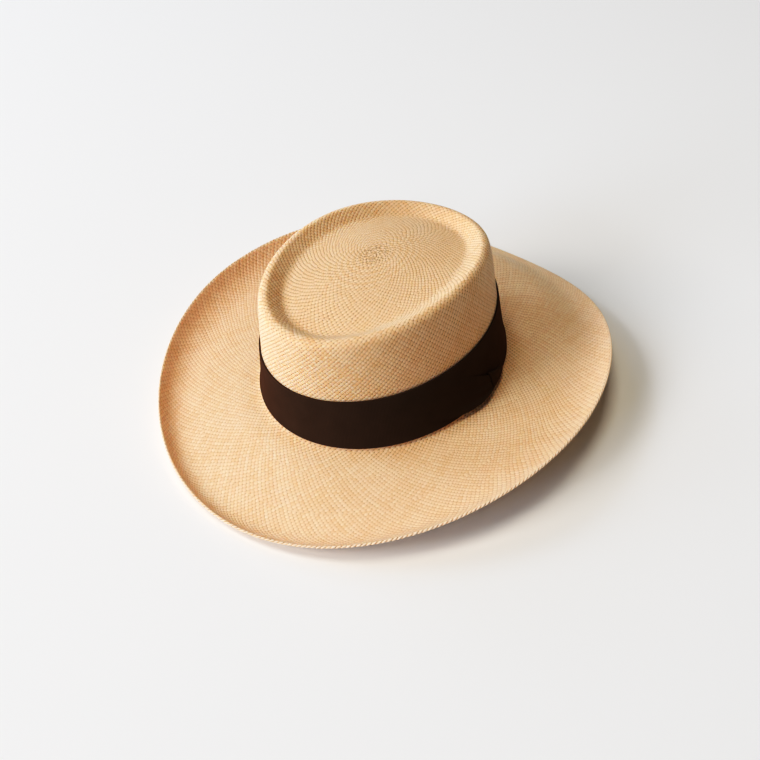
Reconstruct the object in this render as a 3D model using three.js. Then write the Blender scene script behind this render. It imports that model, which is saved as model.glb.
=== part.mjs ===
// Gambler hat: one woven straw body with a telescope crown and a turned-up brim, and a ribbon band that is
// gathered into a knot at the wearer's left.
// Millimetres, +Z up. The front of the hat faces -Y, the wearer's left is +X, and the hat rests on z = 0.
import * as THREE from 'three';

// Walls and the gap that is kept between pieces
const STRAW_WALL = 1.5;
const EDGE_NOSE = 0.9;
const RIBBON_WALL = 1.1;
const SEAT_GAP = 0.3;

// Facets round the hat, facets from one ring of the table to the next, and a step for finding directions
const FACETS_ROUND = 64;
const FACETS_PER_RING = 2;
const SMALL_STEP = 0.01;

// The straw's upper face, from the middle of the tip to the edge of the brim. Each ring is an oval with half
// its length along Y, half its width along X, and its heights above the crown's foot at the front, sides and
// back. Between these the height swings evenly, or later towards the back where the power there is above 2.
const RINGS = [
  ['tip_centre', 0, 0, 91, 91, 91, 2],
  ['tip_top', 24, 17, 90.5, 90.8, 90, 2],
  ['tip_slope', 52, 36, 87.6, 89.4, 85.6, 2],
  ['tip_foot', 69, 47.5, 84.4, 88.8, 81.4, 2],
  ['groove', 78, 54.5, 83, 89.2, 79, 2],
  ['rim_inside', 83.5, 61, 86.5, 92.5, 81.9, 2],
  ['rim_crest', 89, 66, 89, 95, 84.2, 2],
  ['rim_outside', 93.3, 70.4, 87, 93, 82.2, 2],
  ['rim_edge', 95.1, 72.3, 82.5, 88.5, 77.7, 2],
  ['wall_upper', 96.9, 75.9, 65.5, 67, 63, 2],
  ['band_line', 98.7, 78.9, 44.3, 44.3, 44.3, 2],
  ['wall_foot', 102.7, 88.4, 3, 3, 3, 2],
  ['brim_root', 105, 90.8, 0.5, 0.5, 0.5, 2],
  ['brim_inner', 122, 107, -2.4, 0.6, 2, 4],
  ['brim_middle', 148, 126, -8.3, 2.4, 4.3, 4],
  ['brim_outer', 173, 144, -14, 5, -10.8, 4.4],
  ['brim_curl', 178.2, 156.4, -13.34, 10.2, -12.6, 4.2],
  ['brim_edge', 181.1, 166.5, -9.5, 18.9, -13.4, 3.4],
].map(([name, halfLength, halfWidth, front, side, back, backPower]) => (
  { name, halfLength, halfWidth, front, side, back, backPower }));
const EVEN_SWING = 2;

// The gathered ribbon, from where it leaves the band to the knot: the angle and height of its lower and
// upper edges, how far each edge stands off the crown, and how far the folds between them swell. The ribbon
// behind the knot has only a share of that fullness.
const GATHER = [
  [54, 20, 66, 43.5, 2.6, 2.6, 0],
  [66, 14.5, 74, 40, 2.7, 2.7, 0.2],
  [78, 6.5, 82, 34.5, 3.2, 2.9, 0.4],
  [86, 2.8, 88.5, 29.5, 4, 3.2, 0.6],
  [92, 1.8, 94, 23.8, 5, 3.6, 0.6],
  [99.3, 1.6, 99.3, 18.6, 4.6, 3.8, 0.4],
].map(([lowAngle, low, highAngle, high, lowOut, highOut, swell]) => (
  { lowAngle, low, highAngle, high, lowOut, highOut, swell }));
const GATHER_FOLDS = 3;
const GATHER_WALL = 0.9;
const BACK_FULLNESS = 0.2;
const GATHER_FACETS_ALONG = 15;
const GATHER_FACETS_UP = 12;

// The knot, with its angles round the crown, its heights above the crown's foot, its stand-off at either
// side, how much fuller its middle is, and how far its top and bottom are drawn in
const KNOT = {
  startAngle: 99.7,
  endAngle: 112.3,
  low: 1.2,
  high: 19.6,
  startOut: 5,
  endOut: 3.2,
  bulge: 0.8,
  drawnIn: 0.8,
};
const KNOT_FACETS = 8;

const STRAW = { color: 0xe5c399, roughness: 0.7, metalness: 0 };
const RIBBON = { color: 0x35211a, roughness: 0.85, metalness: 0 };

// A place on an oval ring: angle 0 is the front and 90 degrees the wearer's left.
function ringPoint(ring, angle) {
  const forward = Math.cos(angle);
  const end = forward > 0 ? ring.front : ring.back;
  const power = forward > 0 ? EVEN_SWING : ring.backPower;
  const height = ring.side + (end - ring.side) * Math.abs(forward) ** power;
  return new THREE.Vector3(ring.halfWidth * Math.sin(angle), -ring.halfLength * forward, height);
}

// The straw's upper face at an angle. station counts rings from the middle of the tip and may lie between
// two.
function strawPoint(angle, station) {
  const meridian = new THREE.CatmullRomCurve3(RINGS.map((ring) => ringPoint(ring, angle)));
  return meridian.getPoint(station / (RINGS.length - 1));
}

// The outward direction there, from places a small step either side of it
function strawNormal(angle, station) {
  if (station < SMALL_STEP) return new THREE.Vector3(0, 0, 1);
  const outer = Math.min(station + SMALL_STEP, RINGS.length - 1);
  const along = strawPoint(angle, outer).sub(strawPoint(angle, station - SMALL_STEP));
  const round = strawPoint(angle + SMALL_STEP, station).sub(strawPoint(angle - SMALL_STEP, station));
  return along.cross(round).normalize();
}

function strawOffset(angle, station, distance) {
  return strawPoint(angle, station).addScaledVector(strawNormal(angle, station), distance);
}

// A closed ring or bowl: the profile's places, worked out by pointAt(angle, place), carried round the hat
function roundShell(places, pointAt) {
  const profile = places.map((_, index) => new THREE.Vector2(1, index));
  const geometry = new THREE.LatheGeometry(profile, FACETS_ROUND);
  const { position, uv } = geometry.attributes;
  for (let i = 0; i < position.count; i += 1) {
    const facet = Math.round(uv.getX(i) * FACETS_ROUND) % FACETS_ROUND;
    const angle = ((facet + 0.5) / FACETS_ROUND) * 2 * Math.PI;
    const place = places[Math.round(uv.getY(i) * (places.length - 1))];
    position.setXYZ(i, ...pointAt(angle, place));
  }
  return geometry;
}

function stationsBetween(first, last) {
  const count = (last - first) * FACETS_PER_RING;
  return Array.from({ length: count + 1 }, (_, index) => first + index / FACETS_PER_RING);
}

function ringIndex(name) {
  return RINGS.findIndex((ring) => ring.name === name);
}

// Crown and brim: the lower face, the rounded edge and the upper face
function strawBody() {
  const edge = RINGS.length - 1;
  const lower = stationsBetween(0, edge).map((station) => ({ station, depth: STRAW_WALL, nose: 0 }));
  const nose = { station: edge, depth: STRAW_WALL / 2, nose: EDGE_NOSE };
  const upper = lower.map((place) => ({ ...place, depth: 0 })).reverse();
  return roundShell([...lower, nose, ...upper], (angle, place) => {
    const outward = strawPoint(angle, edge).sub(strawPoint(angle, edge - SMALL_STEP)).normalize();
    return strawOffset(angle, place.station, -place.depth).addScaledVector(outward, place.nose);
  });
}

// The ribbon round the crown: a flat loop, closed in section
function hatBand() {
  const stations = stationsBetween(ringIndex('band_line'), ringIndex('wall_foot'));
  const inside = stations.map((station) => ({ station, out: SEAT_GAP }));
  const outside = stations.map((station) => ({ station, out: SEAT_GAP + RIBBON_WALL })).reverse();
  return roundShell(
    [...inside, ...outside, inside[0]],
    (angle, place) => strawOffset(angle, place.station, place.out),
  );
}

// A place beside the crown's wall, out level from it, at a height above the crown's foot
function wallPoint(degrees, height, out) {
  const angle = THREE.MathUtils.degToRad(degrees);
  const [top, foot] = ['band_line', 'wall_foot'].map((name) => RINGS[ringIndex(name)]);
  const down = (top.side - height) / (top.side - foot.side);
  const halfLength = THREE.MathUtils.lerp(top.halfLength, foot.halfLength, down);
  const halfWidth = THREE.MathUtils.lerp(top.halfWidth, foot.halfWidth, down);
  const level = new THREE.Vector3(Math.sin(angle) / halfWidth, -Math.cos(angle) / halfLength, 0).normalize();
  return new THREE.Vector3(halfWidth * Math.sin(angle), -halfLength * Math.cos(angle), height)
    .addScaledVector(level, out);
}

// A box whose corners run from 0 to 1, with each of its points moved to pointAt(along, up, depth)
function shapedBox(alongFacets, upFacets, depthFacets, pointAt) {
  const geometry = new THREE.BoxGeometry(1, 1, 1, alongFacets, upFacets, depthFacets);
  const { position } = geometry.attributes;
  for (let i = 0; i < position.count; i += 1) {
    const point = pointAt(position.getX(i) + 0.5, position.getY(i) + 0.5, position.getZ(i) + 0.5);
    position.setXYZ(i, ...point);
  }
  return geometry;
}

// A column of the gather table at any place along it, 0 at the band and 1 at the knot
function gatherValue(column, along) {
  const curve = new THREE.SplineCurve(GATHER.map((row, index) => new THREE.Vector2(index, row[column])));
  return curve.getPoint(along).y;
}

// The gathered ribbon: a sheet that leaves the band and swells into folds towards the knot. The one behind
// the knot mirrors the one in front, about the upright plane through the knot, and lies flatter.
function gatherSheet(behind) {
  const fullness = behind ? BACK_FULLNESS : 1;
  const flat = GATHER[0].lowOut;
  return shapedBox(GATHER_FACETS_ALONG, GATHER_FACETS_UP, 1, (side, up, depth) => {
    const along = behind ? 1 - side : side;
    const mix = (low, high) => THREE.MathUtils.lerp(gatherValue(low, along), gatherValue(high, along), up);
    const fold = Math.sin(Math.PI * GATHER_FOLDS * up) ** 2;
    const full = mix('lowOut', 'highOut') + gatherValue('swell', along) * fold;
    const out = flat + (full - flat) * fullness;
    const degrees = mix('lowAngle', 'highAngle');
    const placed = behind ? KNOT.startAngle + KNOT.endAngle - degrees : degrees;
    return wallPoint(placed, mix('low', 'high'), out - GATHER_WALL * (1 - depth));
  });
}

// The knot: a rounded wrap, fullest in its middle
function bowKnot() {
  const inside = SEAT_GAP * 2 + RIBBON_WALL;
  return shapedBox(KNOT_FACETS, KNOT_FACETS, 2, (along, up, depth) => {
    const across = 1 - (2 * along - 1) ** 2;
    const ends = (2 * up - 1) ** 4;
    const side = THREE.MathUtils.lerp(KNOT.startOut, KNOT.endOut, along);
    const outside = side + KNOT.bulge * across - KNOT.drawnIn * ends;
    const degrees = THREE.MathUtils.lerp(KNOT.startAngle, KNOT.endAngle, along);
    const height = THREE.MathUtils.lerp(KNOT.low, KNOT.high, up);
    return wallPoint(degrees, height, THREE.MathUtils.lerp(inside, outside, depth));
  });
}

function piece(name, geometry, look) {
  const mesh = new THREE.Mesh(geometry, new THREE.MeshStandardMaterial(look));
  mesh.name = name;
  return mesh;
}

const hat = new THREE.Group();
const straw = strawBody();
straw.computeBoundingBox();
hat.position.z = -straw.boundingBox.min.z;
hat.add(piece('straw_body', straw, STRAW));
hat.add(piece('hat_band', hatBand(), RIBBON));
hat.add(piece('ribbon_gather_front', gatherSheet(false), RIBBON));
hat.add(piece('ribbon_gather_back', gatherSheet(true), RIBBON));
hat.add(piece('bow_knot', bowKnot(), RIBBON));

export default hat;
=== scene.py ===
import math

import bpy
import numpy as np
from mathutils import Matrix, Vector


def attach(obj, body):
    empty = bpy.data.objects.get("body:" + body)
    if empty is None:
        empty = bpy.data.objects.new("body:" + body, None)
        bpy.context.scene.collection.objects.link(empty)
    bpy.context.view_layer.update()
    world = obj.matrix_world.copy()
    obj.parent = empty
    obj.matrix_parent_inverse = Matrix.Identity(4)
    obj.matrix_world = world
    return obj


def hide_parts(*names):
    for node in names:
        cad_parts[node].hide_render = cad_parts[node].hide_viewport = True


MM = 0.001
FOOT_HEIGHT = 15.45

# The straw's upper face, from the middle of the tip to the edge of the brim. Each ring has half its length
# along Y, half its width along X, its heights at the front, sides and back, and the power of the swing from
# the sides to the back, which is even at 2 and comes later at more.
RINGS = [
    ("tip_centre", 0, 0, 91, 91, 91, 2),
    ("tip_top", 24, 17, 90.5, 90.8, 90, 2),
    ("tip_slope", 52, 36, 87.6, 89.4, 85.6, 2),
    ("tip_foot", 69, 47.5, 84.4, 88.8, 81.4, 2),
    ("groove", 78, 54.5, 83, 89.2, 79, 2),
    ("rim_inside", 83.5, 61, 86.5, 92.5, 81.9, 2),
    ("rim_crest", 89, 66, 89, 95, 84.2, 2),
    ("rim_outside", 93.3, 70.4, 87, 93, 82.2, 2),
    ("rim_edge", 95.1, 72.3, 82.5, 88.5, 77.7, 2),
    ("wall_upper", 96.9, 75.9, 65.5, 67, 63, 2),
    ("band_line", 98.7, 78.9, 44.3, 44.3, 44.3, 2),
    ("wall_foot", 102.7, 88.4, 3, 3, 3, 2),
    ("brim_root", 105, 90.8, 0.5, 0.5, 0.5, 2),
    ("brim_inner", 122, 107, -2.4, 0.6, 2, 4),
    ("brim_middle", 148, 126, -8.3, 2.4, 4.3, 4),
    ("brim_outer", 173, 144, -14, 5, -10.8, 4.4),
    ("brim_curl", 178.2, 156.4, -13.34, 10.2, -12.6, 4.2),
    ("brim_edge", 181.1, 166.5, -9.5, 18.9, -13.4, 3.4),
]
RING_NAMES = [row[0] for row in RINGS]
RING_SIZES = np.array([row[1:] for row in RINGS], float)
LAST = len(RINGS) - 1
EVEN_SWING = 2
STRAW_WALL = 1.5

# Facets of the straw: round the hat, and from one ring to the next on its upper and lower faces. The small
# step finds directions, and nothing is divided by less than the tiny length.
ROUND = 384
UPPER_STEPS = 7
LOWER_STEPS = 4
SMALL_STEP = 0.01
TINY = 1e-6

# The weave: strands cross at 45 degrees to the meridians, this far apart along them. Where the straw widens
# by the given share, strands are added, and a new zone of strands starts.
STRAND_PITCH = 3.46
FEWEST_STRANDS = 6
WIDENING = 1.13
ZONE_STEP = 1000

# The edge of the brim is woven back on itself, which shows as slanted stitches.
EDGE_STITCHES = 330
STITCH = {"length": 4.4, "radius": 0.62, "slant": 0.38, "blunt": 0.02}
STITCH_SIDES = 8
STITCH_RINGS = 7
EDGE_STEPS = 4 * ROUND

# The ribbon: its thickness, the sharpest bend that is shaded as smooth, and the band's stand-off and rows
RIBBON_WALL = 1.1
SHEET_CREASE = math.radians(50)
BAND_OUT = 0.3
BAND_ROWS = 22

# The knot: its angles round the crown, its heights above the crown's foot, and how far it stands off. Its
# top slopes down towards the back.
KNOT = {
    "start": 99.7,
    "end": 112.3,
    "low": 1.2,
    "high": 19.6,
    "end_high": 9.0,
    "start_out": 4.9,
    "end_out": 2.4,
    "bulge": 0.7,
    "drawn_in": 0.8,
    "inside": 1.5,
}
KNOT_GRID = 25

# The gathered ribbon, from the band to the knot: the angle and height of its lower and upper edges, how far
# each stands off the crown, and how far the folds between them swell. The one behind the knot stands off by
# a share of this.
GATHER = np.array([
    (54, 20, 66, 43.5, 1.45, 1.45, 0),
    (66, 14.5, 74, 40, 1.6, 1.45, 0.1),
    (78, 6.5, 82, 34.5, 2.6, 1.45, 0.4),
    (86, 2.4, 88.5, 29.5, 4.8, 1.5, 0.6),
    (92, 1.4, 94, 23.8, 6.0, 2.2, 0.6),
    (99.3, 1.4, 99.3, 18.6, 4.9, 3.6, 0.4),
])
GATHER_FOLDS = 3
BACK_FULLNESS = 0.02
GATHER_WALL = 0.6
LEAST_OUT = 1.41
GATHER_GRID = (60, 40)

# Reaches are where something fades, in millimetres along the straw from the middle of the tip.
# The crown has more open pores than the brim, and lines between its strands, both painted as shade. On the
# brim the strands differ less.
CROWN_REACH = (175.0, 190.0)
CROWN_PORES = 0.85
BRIM_OPENNESS = 0.45
CROWN_LINE_SHADE = 0.28
BRIM_STRANDS = 0.7

# The tip: the weave's middle is moved, which fades over this many rings. Pores, painted as shade, are more
# open there, strands differ less than elsewhere, faint circles run round the middle, and dots of painted
# shade lie in it.
ROSETTE_REACH = (11.0, 18.0)
ROSETTE_OPENNESS = 0.5
TIP_REACH = (50.0, 80.0)
TIP_STRANDS = 0.25
WEAVE_MIDDLE = (-8.5, 7.0, 0.0)
WEAVE_FADES = 3
CIRCLE_PITCH = 4.6
CIRCLE_REACH = (22.0, 48.0)
CIRCLE_DEPTH = 0.25
DOT_PITCH = 2.3
DOT_SIZE = (0.18, 0.36)
DOT_SHADE_DEPTH = 0.6
DOTS_REACH = (8.0, 15.0)

# The straw's pattern: how much strands, crossings and patches differ, where the painted shade of pores and
# of the lines between strands lies in a crossing, how faint a pore's painted shade may be, where and how
# deep the painted shade of a strand diving under is, and the depth of the relief
TONE_SHARES = {"strand": 0.6, "crossing": 0.25, "patch": 0.3}
TONE_RANGE = (0.25, 1.0)
PATCH_SCALE = 45.0
PORE_CORNER = (0.35, 0.8)
PORE_LEAST = 0.35
LINE_SHADE_EDGE = (0.3, 0.5)
# Painted shade where a strand dives under: where it starts along the crossing, and how deep it is
DIVE_SHADE_EDGE = (0.28, 0.5)
DIVE_SHADE_DEPTH = 0.3
ARCH_SHARE = 0.7
WEAVE_RELIEF = {"strength": 0.7, "depth": 0.35}
STRAW_ROUGHNESS = 0.62
STRAW_GLOSS = 0.2
EDGE_GLOSS = 0.35
EDGE_SCALE = 300.0

# The ribbon's pattern: ribs round the hat, uneven dye and a faint sheen
RIBS_ROUND = 620.0
RIB_RELIEF = {"strength": 0.3, "depth": 0.1}
DYE_SCALE = 60.0
DYE_DETAIL = 4.0
DYE_RANGE = (0.8, 1.2)
RIBBON_ROUGHNESS = 0.8
SHEEN_WEIGHT = 0.1
SHEEN_ROUGHNESS = 0.45

# Colours, and how far light spreads in the straw, in millimetres
STRAW_PALE = (0.94, 0.665, 0.425)
STRAW_GOLD = (0.865, 0.56, 0.315)
# The pore colour is painted shade: the dark put in the pores, in the lines between the crown's strands and
# in the tip's dots.
STRAW_PORE_SHADE = (0.22, 0.11, 0.045)
CROWN_TINT = (1.0, 0.98, 0.945)
BRIM_TINT = (1.0, 1.02, 1.04)
# The edge's colours are painted highlight: the rope edge is painted paler than the straw where it catches
# the light.
EDGE_HIGHLIGHT_PALE = (0.97, 0.77, 0.56)
EDGE_HIGHLIGHT_GOLD = (0.92, 0.62, 0.38)
RIBBON_BROWN = (0.059, 0.035, 0.022)
RIBBON_SHEEN = (1.0, 0.40, 0.22)
STRAW_DEPTH = (1.3, 1.1, 0.8)
FLOOR_PALE = (0.91, 0.89, 0.84)

# The floor, half its width in metres, and how rough and glossy it is
FLOOR_HALF = 6.0
FLOOR_ROUGHNESS = 0.9
FLOOR_GLOSS = 0.1

# The lights: azimuth and elevation in degrees, distance, width and height in metres, and strength in red,
# green and blue. Most of the light comes from the left and front of the picture, and a warmer one is above.
SOFT_BOXES = [
    ("back", -110, 35, 6.0, 2.2, 2.2, (0.075, 0.088, 0.122)),
    ("side", -70, 35, 6.0, 2.2, 2.2, (0.162, 0.205, 0.28)),
    ("key", -30, 35, 6.0, 2.2, 2.2, (0.485, 0.465, 0.47)),
    ("front", -10, 20, 6.0, 2.2, 2.2, (0.275, 0.33, 0.43)),
    ("top", -60, 83, 5.0, 1.8, 1.8, (0.32, 0.293, 0.245)),
]
FILL = (0.075, 0.078, 0.078)

# The picture's contrast, as pairs of brightness before and after, and which curve is for all the colours
CONTRAST = [(0.0, 0.0), (0.05, 0.022), (0.1, 0.061), (0.2, 0.172), (0.3, 0.307), (0.4, 0.435), (0.55, 0.62),
            (0.7, 0.777), (0.85, 0.906), (1.0, 1.0)]
ALL_COLOURS = 3

# The camera: its lens, how near and far it sees in metres, its place, and its picture's right and up
# directions
LENS = 40.0
SENSOR = 36.0
SEES_FROM = 0.01
SEES_TO = 50.0
CAMERA_AT = (332.69, -349.66, 451.37)
CAMERA_RIGHT = (0.7595, 0.64713, -0.06617)
CAMERA_UP = (-0.42167, 0.56722, 0.70743)


def spline(points, stations):
    """Places on the centripetal curves through points[..., k, :]. Stations count from the first point."""
    before = 2 * points[..., :1, :] - points[..., 1:2, :]
    after = 2 * points[..., -1:, :] - points[..., -2:-1, :]
    padded = np.concatenate([before, points, after], axis=-2)
    first = np.clip(np.floor(stations).astype(int), 0, points.shape[-2] - 2)
    weight = (stations - first)[:, None]
    p0, p1, p2, p3 = (padded[..., first + k, :] for k in range(4))
    step = [np.maximum(np.sum((q - p) ** 2, -1, keepdims=True) ** 0.25, TINY)
            for p, q in ((p0, p1), (p1, p2), (p2, p3))]
    start = ((p1 - p0) / step[0] - (p2 - p0) / (step[0] + step[1]) + (p2 - p1) / step[1]) * step[1]
    end = ((p2 - p1) / step[1] - (p3 - p1) / (step[1] + step[2]) + (p3 - p2) / step[2]) * step[1]
    square = -3 * p1 + 3 * p2 - 2 * start - end
    cube = 2 * p1 - 2 * p2 + start + end
    return p1 + start * weight + square * weight ** 2 + cube * weight ** 3


def straw_points(angles, stations):
    """The straw's upper face, as an array over angles and stations."""
    half_length, half_width, front, side, back, back_power = RING_SIZES.T
    forward = np.cos(angles)[:, None]
    end = np.where(forward > 0, front, back)
    power = np.where(forward > 0, EVEN_SWING, back_power)
    height = side + (end - side) * np.abs(forward) ** power
    rings = np.stack([half_width * np.sin(angles)[:, None], -half_length * forward, height], axis=-1)
    return spline(rings, np.asarray(stations, float))


def straw_normals(angles, stations):
    """Outward directions of the upper face."""
    stations = np.asarray(stations, float)
    inner = np.clip(stations - SMALL_STEP, 0, LAST)
    outer = np.clip(stations + SMALL_STEP, 0, LAST)
    along = straw_points(angles, outer) - straw_points(angles, inner)
    around = straw_points(angles + SMALL_STEP, stations) - straw_points(angles - SMALL_STEP, stations)
    normals = np.cross(along, around)
    normals[:, stations < SMALL_STEP] = (0, 0, 1)
    return normals / np.linalg.norm(normals, axis=-1, keepdims=True)


def wall_points(angles, heights, outs):
    """Places out from the crown's wall, beside the band. All three arrays have one shape."""
    band_line, wall_foot = (RING_NAMES.index(name) for name in ("band_line", "wall_foot"))
    top, foot = RING_SIZES[band_line, 2], RING_SIZES[wall_foot, 2]
    stations = np.linspace(band_line, wall_foot, BAND_ROWS)
    face = straw_points(angles.ravel(), stations)
    normal = straw_normals(angles.ravel(), stations)
    down = (top - heights.ravel()) / (top - foot) * (BAND_ROWS - 1)
    above = np.clip(np.floor(down).astype(int), 0, BAND_ROWS - 2)
    share = (down - above)[:, None]
    each = np.arange(len(down))
    place, outward = (grid[each, above] * (1 - share) + grid[each, above + 1] * share
                      for grid in (face, normal))
    return (place + outward * outs.ravel()[:, None]).reshape(*heights.shape, 3)


def mesh_object(name, points, faces, material, uvs=None):
    """A smooth mesh from points in millimetres above the crown's foot. uvs has a pair for each corner."""
    mesh = bpy.data.meshes.new(name)
    placed = (np.asarray(points) + (0, 0, FOOT_HEIGHT)) * MM
    mesh.from_pydata(placed.tolist(), [], [list(face) for face in faces])
    for layer, pairs in (uvs or {}).items():
        uv = mesh.uv_layers.new(name=layer)
        uv.data.foreach_set("uv", np.asarray(pairs, np.float32).ravel())
    mesh.polygons.foreach_set("use_smooth", np.ones(len(mesh.polygons), bool))
    mesh.validate()
    mesh.update()
    piece = bpy.data.objects.new(name, mesh)
    bpy.context.scene.collection.objects.link(piece)
    mesh.materials.append(material)
    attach(piece, "root")
    return piece


def weave_rows(rows):
    """For each row of the straw: its way from the middle of the tip, each place's share of the way round,
    and the row's girth."""
    closed = np.concatenate([rows, rows[:, :1]], axis=1)
    steps = np.linalg.norm(np.diff(closed, axis=1), axis=-1)
    around = np.concatenate([np.zeros((len(rows), 1)), np.cumsum(steps, axis=1)], axis=1)
    girth = around[:, -1]
    share = around / np.maximum(around[:, -1:], TINY)
    share[girth < TINY] = np.linspace(0, 1, share.shape[1])
    rise = np.linalg.norm(np.diff(rows, axis=0), axis=-1).mean(axis=1)
    length = np.concatenate([[0], np.cumsum(rise)])
    return length, share, girth


def strand_counts(girth):
    """How many strands of each slant lie between each row and the next, and the number of their zone."""
    counts = []
    zones = []
    count = FEWEST_STRANDS
    zone = 0
    for inner, outer in zip(girth[:-1], girth[1:]):
        wanted = 0.5 * (inner + outer) / STRAND_PITCH
        if wanted > count * WIDENING or wanted < count / WIDENING:
            count = max(FEWEST_STRANDS, int(round(wanted * WIDENING ** 0.5)))
            zone += 1
        counts.append(count)
        zones.append(zone)
    return counts, zones


def woven_skin(rows):
    """Quads over rows of places, with two pairs of numbers at each corner: the weave's strand coordinates,
    and the way from the middle of the tip beside a zero."""
    length, share, girth = weave_rows(rows)
    counts, zones = strand_counts(girth)
    row_index, column = np.meshgrid(np.arange(len(rows) - 1), np.arange(ROUND), indexing="ij")
    corners = [(0, 0), (1, 0), (1, 1), (0, 1)]
    faces = np.stack([(row_index + r) * ROUND + (column + c) % ROUND for r, c in corners], axis=-1)
    count = np.array(counts)[row_index]
    shift = np.array(zones)[row_index] * ZONE_STEP
    strands = []
    reaches = []
    for r, c in corners:
        way = length[row_index + r]
        turn = count * share[row_index + r, column + c]
        climb = way / STRAND_PITCH
        strands.append(np.stack([shift + turn + climb, shift + turn - climb], axis=-1))
        reaches.append(np.stack([way, np.zeros_like(way)], axis=-1))
    layers = (np.stack(pairs, axis=2).reshape(-1, 2) for pairs in (strands, reaches))
    return faces.reshape(-1, 4), *layers


def straw_body(material):
    """Crown and brim: the woven upper and lower faces and the edge between them."""
    angles = np.arange(ROUND) / ROUND * 2 * math.pi
    upper_at = np.linspace(0, LAST, LAST * UPPER_STEPS + 1)
    lower_at = np.linspace(0, LAST, LAST * LOWER_STEPS + 1)
    upper = straw_points(angles, upper_at).transpose(1, 0, 2)
    lower = straw_points(angles, lower_at) - STRAW_WALL * straw_normals(angles, lower_at)
    lower = lower.transpose(1, 0, 2)
    for rows, at in ((upper, upper_at), (lower, lower_at)):
        rows += np.clip(1 - at / WEAVE_FADES, 0, 1)[:, None, None] * np.array(WEAVE_MIDDLE)
    upper_faces, *upper_uv = woven_skin(upper)
    lower_faces, *lower_uv = woven_skin(lower)
    lower_faces = lower_faces[:, ::-1] + upper[..., 0].size
    lower_uv = [pairs.reshape(-1, 4, 2)[:, ::-1].reshape(-1, 2) for pairs in lower_uv]
    column = np.arange(ROUND)
    upper_edge = (len(upper) - 1) * ROUND
    lower_edge = upper[..., 0].size + (len(lower) - 1) * ROUND
    ahead = (column + 1) % ROUND
    edge = [upper_edge + column, lower_edge + column, lower_edge + ahead, upper_edge + ahead]
    edge = np.stack(edge, axis=-1)
    points = np.concatenate([upper.reshape(-1, 3), lower.reshape(-1, 3)])
    faces = np.concatenate([upper_faces, lower_faces, edge])
    edge_uv = np.full((len(edge) * 4, 2), 0.5)
    layers = {name: np.concatenate([above, below, edge_uv])
              for name, above, below in zip(("weave", "reach"), upper_uv, lower_uv)}
    return mesh_object("woven_straw", points, faces, material, layers)


def stitch_angles():
    """Angles that are evenly spread along the edge of the brim."""
    turns = np.linspace(0, 2 * math.pi, EDGE_STEPS + 1)
    edge = straw_points(turns, [LAST])[:, 0] - 0.5 * STRAW_WALL * straw_normals(turns, [LAST])[:, 0]
    travel = np.concatenate([[0], np.cumsum(np.linalg.norm(np.diff(edge, axis=0), axis=1))])
    return np.interp(np.arange(EDGE_STITCHES) / EDGE_STITCHES * travel[-1], travel, turns)


def stitch_faces(stitch):
    """The faces of one stitch: its sides and its two ends."""
    base = stitch * STITCH_RINGS * STITCH_SIDES
    last = base + (STITCH_RINGS - 1) * STITCH_SIDES
    faces = []
    for low in range(base, last, STITCH_SIDES):
        high = low + STITCH_SIDES
        for side in range(STITCH_SIDES):
            ahead = (side + 1) % STITCH_SIDES
            faces.append((low + side, low + ahead, high + ahead, high + side))
    faces.append(tuple(base + side for side in reversed(range(STITCH_SIDES))))
    faces.append(tuple(last + side for side in range(STITCH_SIDES)))
    return faces


def edge_stitches(material):
    """The rope-like edge of the brim: one slanted stitch after another, all round."""
    around = np.linspace(0, 2 * math.pi, STITCH_SIDES, endpoint=False)
    along = np.linspace(-1, 1, STITCH_RINGS)
    angles = stitch_angles()
    up = straw_normals(angles, [LAST])[:, 0]
    centre = straw_points(angles, [LAST])[:, 0] - 0.5 * STRAW_WALL * up
    ahead, behind = (straw_points(angles + step, [LAST])[:, 0] for step in (SMALL_STEP, -SMALL_STEP))
    tangent = ahead - behind
    tangent /= np.linalg.norm(tangent, axis=1, keepdims=True)
    outward = np.cross(tangent, up)
    axis = math.cos(STITCH["slant"]) * tangent + math.sin(STITCH["slant"]) * up
    rise = np.cross(outward, axis)
    width = STITCH["radius"] * np.sqrt(np.clip(1 - along ** 2, STITCH["blunt"], 1))
    ring = np.cos(around)[None, :, None, None] * outward + np.sin(around)[None, :, None, None] * rise
    length = along[:, None, None, None] * STITCH["length"] / 2 * axis
    points = centre + length + width[:, None, None, None] * ring
    points = points.transpose(2, 0, 1, 3)
    faces = [face for stitch in range(EDGE_STITCHES) for face in stitch_faces(stitch)]
    return mesh_object("edge_stitches", points.reshape(-1, 3), faces, material)


def sheet_solid(name, outer, inner, closed, material):
    """A thin solid between two grids of places; closed sheets run right round the first axis."""
    count, height = outer.shape[:2]
    offset = count * height
    spans = count if closed else count - 1
    faces = []
    for i in range(spans):
        j = (i + 1) % count
        for k in range(height - 1):
            a, b, c, d = i * height + k, j * height + k, j * height + k + 1, i * height + k + 1
            faces.append((a, b, c, d))
            faces.append((offset + a, offset + d, offset + c, offset + b))
        low_i, low_j = i * height, j * height
        top_i, top_j = low_i + height - 1, low_j + height - 1
        faces.append((low_i, offset + low_i, offset + low_j, low_j))
        faces.append((top_j, offset + top_j, offset + top_i, top_i))
    if not closed:
        for k in range(height - 1):
            faces.append((k, k + 1, offset + k + 1, offset + k))
            a = (count - 1) * height + k
            faces.append((a + 1, a, offset + a, offset + a + 1))
    points = np.concatenate([outer.reshape(-1, 3), inner.reshape(-1, 3)])
    sheet = mesh_object(name, points, faces, material)
    sheet.data.set_sharp_from_angle(angle=SHEET_CREASE)
    return sheet


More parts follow.
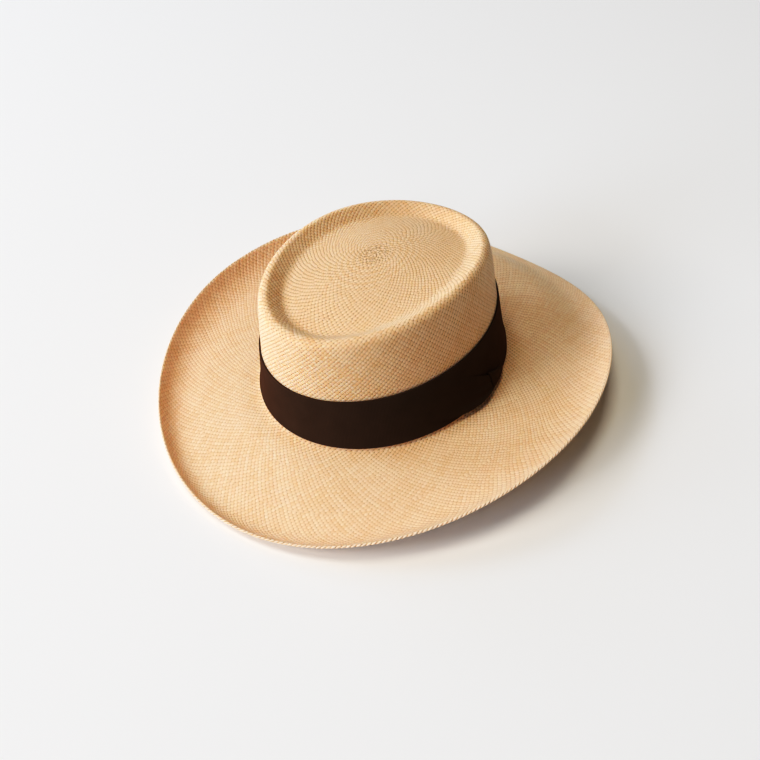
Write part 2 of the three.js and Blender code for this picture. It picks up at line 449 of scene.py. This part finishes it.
def hat_band(material):
    """The flat loop of ribbon round the foot of the crown."""
    angles = np.arange(ROUND) / ROUND * 2 * math.pi
    stations = np.linspace(RING_NAMES.index("wall_foot"), RING_NAMES.index("band_line"), BAND_ROWS)
    face = straw_points(angles, stations)
    normal = straw_normals(angles, stations)
    inner = face + BAND_OUT * normal
    outer = face + (BAND_OUT + RIBBON_WALL) * normal
    return sheet_solid("ribbon_band", outer, inner, True, material)


def gather_column(column, along):
    """A column of the gather table at shares of the way from the band to the knot."""
    table = np.stack([np.arange(len(GATHER)), GATHER[:, column]], axis=-1)
    return spline(table, along * (len(GATHER) - 1))[..., 1]


def gathered_ribbon(name, behind, material):
    """The ribbon from the band into the knot, swelling into folds."""
    along, up = np.meshgrid(*(np.linspace(0, 1, count) for count in GATHER_GRID), indexing="ij")
    low_angle, low, high_angle, high, low_out, high_out, swell = (
        gather_column(column, along[:, 0])[:, None] for column in range(GATHER.shape[1]))
    fold = np.sin(math.pi * GATHER_FOLDS * up) ** 2
    out = low_out + (high_out - low_out) * up + swell * fold
    degrees = low_angle + (high_angle - low_angle) * up
    if behind:
        degrees = KNOT["start"] + KNOT["end"] - degrees
        flat_out = low_out[0]
        out = flat_out + (out - flat_out) * BACK_FULLNESS
    heights = low + (high - low) * up
    outer = wall_points(np.radians(degrees), heights, out)
    inner = wall_points(np.radians(degrees), heights, np.maximum(out - GATHER_WALL, LEAST_OUT))
    if behind:
        outer, inner = outer[::-1], inner[::-1]
    return sheet_solid(name, outer, inner, False, material)


def bow_knot(material):
    """The upright wrap that holds the gathers."""
    shares = np.linspace(0, 1, KNOT_GRID)
    along, up = np.meshgrid(shares, shares, indexing="ij")
    across = 1 - (2 * along - 1) ** 2
    out = KNOT["start_out"] + (KNOT["end_out"] - KNOT["start_out"]) * along
    out = out + KNOT["bulge"] * across - KNOT["drawn_in"] * (2 * up - 1) ** 4
    degrees = np.radians(KNOT["start"] + (KNOT["end"] - KNOT["start"]) * along)
    high = KNOT["high"] + (KNOT["end_high"] - KNOT["high"]) * along
    heights = KNOT["low"] + (high - KNOT["low"]) * up
    outer = wall_points(degrees, heights, out)
    inner = wall_points(degrees, heights, np.full_like(out, KNOT["inside"]))
    return sheet_solid("knot_wrap", outer, inner, False, material)


class Nodes:
    """A material's node tree, with short calls for the kinds of node used here."""

    def __init__(self, name):
        self.material = bpy.data.materials.new(name)
        self.material.use_nodes = True
        self.tree = self.material.node_tree
        self.shader = self.tree.nodes["Principled BSDF"]

    def add(self, kind, inputs=(), **settings):
        node = self.tree.nodes.new(kind)
        for key, value in settings.items():
            setattr(node, key, value)
        for socket, value in inputs:
            self.put(node.inputs[socket], value)
        return node

    def put(self, socket, value):
        if isinstance(value, bpy.types.NodeSocket):
            self.tree.links.new(value, socket)
        else:
            socket.default_value = value

    def math(self, operation, first, second=0.0, third=0.0):
        node = self.add("ShaderNodeMath", enumerate((first, second, third)), operation=operation)
        return node.outputs[0]

    def blend(self, share, first, second):
        node = self.add("ShaderNodeMix", [(0, share), (2, first), (3, second)], data_type="FLOAT")
        return node.outputs[0]

    def colour(self, share, first, second, blend_type="MIX"):
        node = self.add("ShaderNodeMix", [(0, share), (6, first), (7, second)], data_type="RGBA",
                        blend_type=blend_type)
        return node.outputs[2]

    def ramp(self, value, low, high, to_low=0.0, to_high=1.0):
        node = self.add("ShaderNodeMapRange", enumerate((value, low, high, to_low, to_high)),
                        interpolation_type="SMOOTHSTEP")
        return node.outputs[0]

    def random(self, x, y):
        vector = self.add("ShaderNodeCombineXYZ", [(0, x), (1, y)])
        node = self.add("ShaderNodeTexWhiteNoise", [(0, vector.outputs[0])], noise_dimensions="2D")
        return node.outputs[0]

    def noise(self, vector, scale, detail=2.0):
        node = self.add("ShaderNodeTexNoise", [("Vector", vector), ("Scale", scale), ("Detail", detail)])
        return node.outputs[0]

    def relief(self, height, strength, depth):
        inputs = [("Strength", strength), ("Distance", depth * MM), ("Height", height)]
        bump = self.add("ShaderNodeBump", inputs)
        self.put(self.shader.inputs["Normal"], bump.outputs[0])


def rgba(colour):
    return (*colour, 1.0)


def straw_crossing(n):
    """The two strands that cross at a place: their numbers, the way from the middle line of the first, which
    of them lies over, and the ways across and along that one."""
    weave = n.add("ShaderNodeUVMap", uv_map="weave")
    pair = n.add("ShaderNodeSeparateXYZ", [(0, weave.outputs[0])])
    first, second = (n.math("FLOOR", pair.outputs[k]) for k in (0, 1))
    first_side, second_side = (n.math("SUBTRACT", n.math("FRACT", pair.outputs[k]), 0.5) for k in (0, 1))
    over = n.math("FLOORED_MODULO", n.math("ADD", first, second), 2.0)
    across = n.math("ABSOLUTE", n.blend(over, first_side, second_side))
    along = n.math("ABSOLUTE", n.blend(over, second_side, first_side))
    return {"first": first, "second": second, "first_side": first_side, "over": over, "across": across,
            "along": along}


def strand_height(n, cross):
    """The height of the strand that lies over, which is rounded across and arched along."""
    rounded = n.math("SUBTRACT", 1.0, n.math("POWER", n.math("MULTIPLY", cross["across"], 2.0), 3.0))
    arched = n.math("SUBTRACT", 1.0, n.math("POWER", n.math("MULTIPLY", cross["along"], 2.0), 2.0))
    arched = n.math("ADD", 1 - ARCH_SHARE, n.math("MULTIPLY", arched, ARCH_SHARE))
    return n.math("MULTIPLY", rounded, arched)


def strand_colour(n, cross, place, from_middle):
    """Pale to gold by strand, crossing and patch, with faint circles round the middle of the tip."""
    strand = n.random(n.blend(cross["over"], cross["first"], cross["second"]), cross["over"])
    crossing = n.random(cross["first"], cross["second"])
    patch = n.noise(place, PATCH_SCALE)
    differing = n.math("MULTIPLY", n.ramp(from_middle, *TIP_REACH, TIP_STRANDS, 1.0),
                       n.ramp(from_middle, *CROWN_REACH, 1.0, BRIM_STRANDS))
    circle = n.math("SINE", n.math("MULTIPLY", from_middle, 2 * math.pi / CIRCLE_PITCH))
    circle_depth = n.ramp(from_middle, *CIRCLE_REACH, CIRCLE_DEPTH, 0.0)
    mixed = n.math("MULTIPLY", n.blend(differing, 0.5, strand), TONE_SHARES["strand"])
    mixed = n.math("ADD", mixed, n.math("MULTIPLY", crossing, TONE_SHARES["crossing"]))
    mixed = n.math("ADD", mixed, n.math("MULTIPLY", patch, TONE_SHARES["patch"]))
    mixed = n.math("ADD", mixed, n.math("MULTIPLY", circle, circle_depth))
    return n.colour(n.ramp(mixed, *TONE_RANGE), rgba(STRAW_PALE), rgba(STRAW_GOLD))


def pore_and_line_shade(n, cross, place, from_middle):
    """How much painted shade a place gets: in pores at the corners of crossings, in lines between the
    crown's strands, and in dots in the middle of the tip."""
    openness = n.ramp(from_middle, *CROWN_REACH, 1.0, BRIM_OPENNESS)
    openness = n.math("ADD", openness, n.ramp(from_middle, *ROSETTE_REACH, ROSETTE_OPENNESS, 0.0))
    corner = n.math("MULTIPLY", *(n.math("MULTIPLY", cross[way], 2.0) for way in ("across", "along")))
    chance = n.random(cross["first"], n.math("ADD", cross["second"], 0.5))
    chance = n.ramp(chance, 0.0, 1.0, PORE_LEAST, 1.0)
    # Painted shade in the pores at the corners of crossings
    pore_shade = n.math("MULTIPLY", n.ramp(corner, *PORE_CORNER), n.math("MULTIPLY", chance, openness))
    pore_shade = n.math("MULTIPLY", pore_shade, n.ramp(from_middle, *CROWN_REACH, CROWN_PORES, 1.0))
    # Painted shade in the lines between the crown's strands
    line = n.ramp(n.math("ABSOLUTE", cross["first_side"]), *LINE_SHADE_EDGE)
    line = n.math("MULTIPLY", line, n.ramp(from_middle, *CROWN_REACH, CROWN_LINE_SHADE, 0.0))
    # Painted shade in dots in the middle of the tip
    dots = n.add("ShaderNodeTexVoronoi", [("Vector", place), ("Scale", 1 / (DOT_PITCH * MM))],
                 voronoi_dimensions="2D")
    dot_shade = n.math("MULTIPLY", n.ramp(dots.outputs["Distance"], *DOT_SIZE, 1.0, 0.0),
                 n.ramp(from_middle, *DOTS_REACH, DOT_SHADE_DEPTH, 0.0))
    return n.math("MAXIMUM", n.math("MAXIMUM", pore_shade, line), dot_shade)


def straw_material():
    """Flat pale strands, one over and one under, with painted shade in the pores at their corners and where
    a strand dives under.
    """
    n = Nodes("straw_weave")
    cross = straw_crossing(n)
    place = n.add("ShaderNodeTexCoord").outputs["Object"]
    reach = n.add("ShaderNodeUVMap", uv_map="reach")
    from_middle = n.add("ShaderNodeSeparateXYZ", [(0, reach.outputs[0])]).outputs[0]
    colour = strand_colour(n, cross, place, from_middle)
    # Painted shade where the strand over dives under the next one
    dive_shade = n.ramp(cross["along"], *DIVE_SHADE_EDGE, 0.0, DIVE_SHADE_DEPTH)
    colour = n.colour(dive_shade, colour, rgba(STRAW_GOLD), "MULTIPLY")
    # The pores, lines and dots get the painted shade colour
    colour = n.colour(pore_and_line_shade(n, cross, place, from_middle), colour, rgba(STRAW_PORE_SHADE))
    tint = n.colour(n.ramp(from_middle, *CROWN_REACH), rgba(CROWN_TINT), rgba(BRIM_TINT))
    n.put(n.shader.inputs["Base Color"], n.colour(1.0, colour, tint, "MULTIPLY"))
    n.shader.inputs["Subsurface Weight"].default_value = 1.0
    n.shader.inputs["Subsurface Radius"].default_value = STRAW_DEPTH
    n.shader.inputs["Subsurface Scale"].default_value = MM
    n.shader.inputs["Roughness"].default_value = STRAW_ROUGHNESS
    n.shader.inputs["Specular IOR Level"].default_value = STRAW_GLOSS
    n.relief(strand_height(n, cross), **WEAVE_RELIEF)
    return n.material


def stitch_material():
    """The same straw, painted paler all round the edge: a painted highlight where the rope catches the
    light.
    """
    n = Nodes("straw_edge_highlight")
    place = n.add("ShaderNodeTexCoord").outputs["Object"]
    colour = n.colour(n.noise(place, EDGE_SCALE), rgba(EDGE_HIGHLIGHT_PALE), rgba(EDGE_HIGHLIGHT_GOLD))
    n.put(n.shader.inputs["Base Color"], colour)
    n.shader.inputs["Roughness"].default_value = STRAW_ROUGHNESS
    n.shader.inputs["Specular IOR Level"].default_value = EDGE_GLOSS
    return n.material


def ribbon_material():
    """Matte brown ribbon with a fine rib."""
    n = Nodes("brown_ribbon")
    place = n.add("ShaderNodeTexCoord").outputs["Object"]
    shade = n.noise(place, DYE_SCALE, DYE_DETAIL)
    dark, light = (tuple(share * c for c in RIBBON_BROWN) for share in DYE_RANGE)
    n.put(n.shader.inputs["Base Color"], n.colour(shade, rgba(dark), rgba(light)))
    n.shader.inputs["Roughness"].default_value = RIBBON_ROUGHNESS
    n.shader.inputs["Specular IOR Level"].default_value = 0.0
    n.shader.inputs["Sheen Weight"].default_value = SHEEN_WEIGHT
    n.shader.inputs["Sheen Roughness"].default_value = SHEEN_ROUGHNESS
    n.shader.inputs["Sheen Tint"].default_value = rgba(RIBBON_SHEEN)
    ways = n.add("ShaderNodeSeparateXYZ", [(0, place)])
    turn = n.math("ARCTAN2", ways.outputs[1], ways.outputs[0])
    rib = n.math("SINE", n.math("MULTIPLY", turn, RIBS_ROUND))
    n.relief(rib, **RIB_RELIEF)
    return n.material


def soft_box(name, azimuth, elevation, distance, width, height, strength):
    """A rectangular soft light that faces the hat. azimuth is counted as the hat's angles are, and a
    strength of 1 lights a white wall that faces it to white."""
    turn, rise = math.radians(azimuth), math.radians(elevation)
    direction = Vector((math.sin(turn) * math.cos(rise), -math.cos(turn) * math.cos(rise), math.sin(rise)))
    lamp = bpy.data.lights.new(name, "AREA")
    lamp.shape = "RECTANGLE"
    lamp.size = width
    lamp.size_y = height
    lamp.color = strength
    lamp.energy = (math.pi * distance) ** 2
    box = bpy.data.objects.new(name, lamp)
    box.location = direction * distance
    box.rotation_euler = direction.to_track_quat("Z", "Y").to_euler()
    bpy.context.scene.collection.objects.link(box)


def floor_and_light():
    """A pale floor, the soft boxes and a faint fill."""
    mesh = bpy.data.meshes.new("floor")
    corners = [(x * FLOOR_HALF, y * FLOOR_HALF, 0) for x, y in ((-1, -1), (1, -1), (1, 1), (-1, 1))]
    mesh.from_pydata(corners, [], [(0, 1, 2, 3)])
    floor = bpy.data.objects.new("floor", mesh)
    bpy.context.scene.collection.objects.link(floor)
    n = Nodes("floor_pale")
    n.shader.inputs["Base Color"].default_value = rgba(FLOOR_PALE)
    n.shader.inputs["Roughness"].default_value = FLOOR_ROUGHNESS
    n.shader.inputs["Specular IOR Level"].default_value = FLOOR_GLOSS
    mesh.materials.append(n.material)
    for box in SOFT_BOXES:
        soft_box(*box)
    world = bpy.data.worlds.new("studio")
    bpy.context.scene.world = world
    world.use_nodes = True
    background = world.node_tree.nodes["Background"]
    background.inputs["Color"].default_value = rgba(FILL)
    background.inputs["Strength"].default_value = 1.0


def camera():
    """The photograph's view."""
    lens = bpy.data.cameras.new("camera")
    lens.lens = LENS
    lens.sensor_width = SENSOR
    lens.clip_start = SEES_FROM
    lens.clip_end = SEES_TO
    holder = bpy.data.objects.new("camera", lens)
    right = Vector(CAMERA_RIGHT).normalized()
    up = Vector(CAMERA_UP)
    back = right.cross(up).normalized()
    up = back.cross(right)
    turn = Matrix((right, up, back)).transposed().to_4x4()
    place = (Vector(CAMERA_AT) + Vector((0, 0, FOOT_HEIGHT))) * MM
    holder.matrix_world = Matrix.Translation(place) @ turn
    bpy.context.scene.collection.objects.link(holder)
    bpy.context.scene.camera = holder


def picture_contrast():
    """Sets the picture's contrast curve."""
    settings = bpy.context.scene.view_settings
    settings.view_transform = "Standard"
    settings.use_curve_mapping = True
    curve = settings.curve_mapping.curves[ALL_COLOURS]
    curve.points[0].location = CONTRAST[0]
    curve.points[1].location = CONTRAST[-1]
    for pair in CONTRAST[1:-1]:
        curve.points.new(*pair)
    settings.curve_mapping.update()


def build():
    """All the pieces, with the nodes they stand for hidden."""
    straw = straw_material()
    ribbon = ribbon_material()
    body = straw_body(straw)
    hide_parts("straw_body")
    edge = edge_stitches(stitch_material())
    band = hat_band(ribbon)
    front = gathered_ribbon("gather_front", False, ribbon)
    back = gathered_ribbon("gather_back", True, ribbon)
    knot = bow_knot(ribbon)
    for piece, node in ((band, "hat_band"), (front, "ribbon_gather_front"),
                        (back, "ribbon_gather_back"), (knot, "bow_knot")):
        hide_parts(node)


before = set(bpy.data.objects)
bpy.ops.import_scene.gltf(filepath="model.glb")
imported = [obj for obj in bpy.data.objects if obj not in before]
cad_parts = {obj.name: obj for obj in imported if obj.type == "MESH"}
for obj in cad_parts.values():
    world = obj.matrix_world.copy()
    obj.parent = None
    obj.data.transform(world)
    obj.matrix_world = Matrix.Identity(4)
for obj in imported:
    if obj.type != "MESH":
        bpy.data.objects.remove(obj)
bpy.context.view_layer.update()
build()
floor_and_light()
camera()
picture_contrast()
